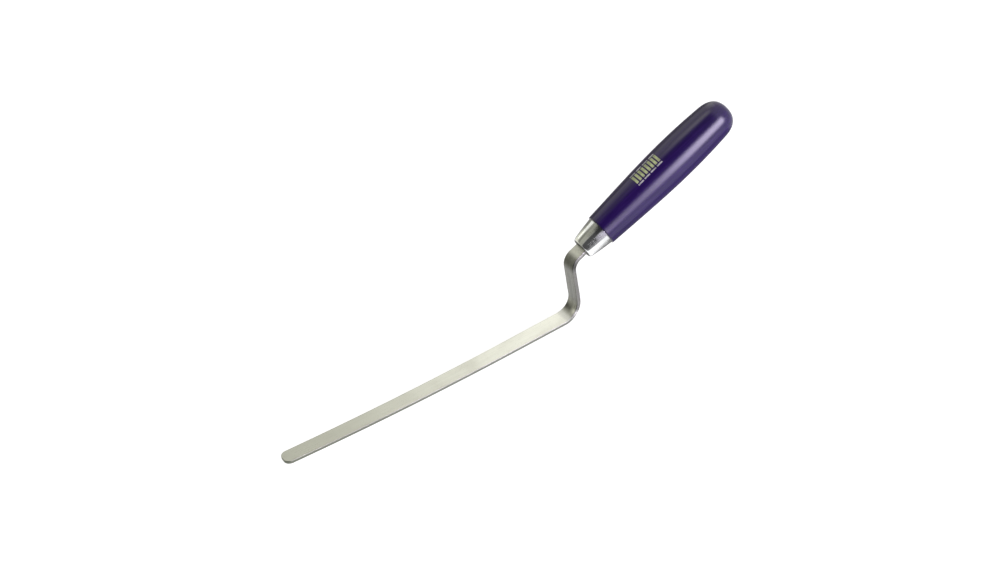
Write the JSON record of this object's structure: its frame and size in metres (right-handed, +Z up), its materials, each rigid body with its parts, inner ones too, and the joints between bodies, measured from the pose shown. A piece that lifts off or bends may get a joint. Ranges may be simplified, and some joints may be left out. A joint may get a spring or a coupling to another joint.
{
  "type": "joint trowel",
  "caption": "Hand trowel with a long narrow blade on a cranked neck, for pressing filler or mortar into joints, with a turned handle behind a ferrule.",
  "frame": {"origin": "centre of the flat land at the heel end of the blade's sole", "axes": "+X along the blade from its tip towards the handle, +Z up from the sole, +Y across the blade"},
  "size_m": [0.301, 0.024, 0.0885],
  "materials": {
    "blade_steel": "ground and linished lengthwise, satin",
    "ferrule_chrome": "bright plated, mirror-like with fine scuffs",
    "handle_lacquer": "turned hardwood dipped in deep violet lacquer, semi-gloss"
  },
  "bodies": {
    "root": {"blade_and_tang": "blade_steel", "ferrule": "ferrule_chrome", "handle": "handle_lacquer"}
  },
  "joints": []
}
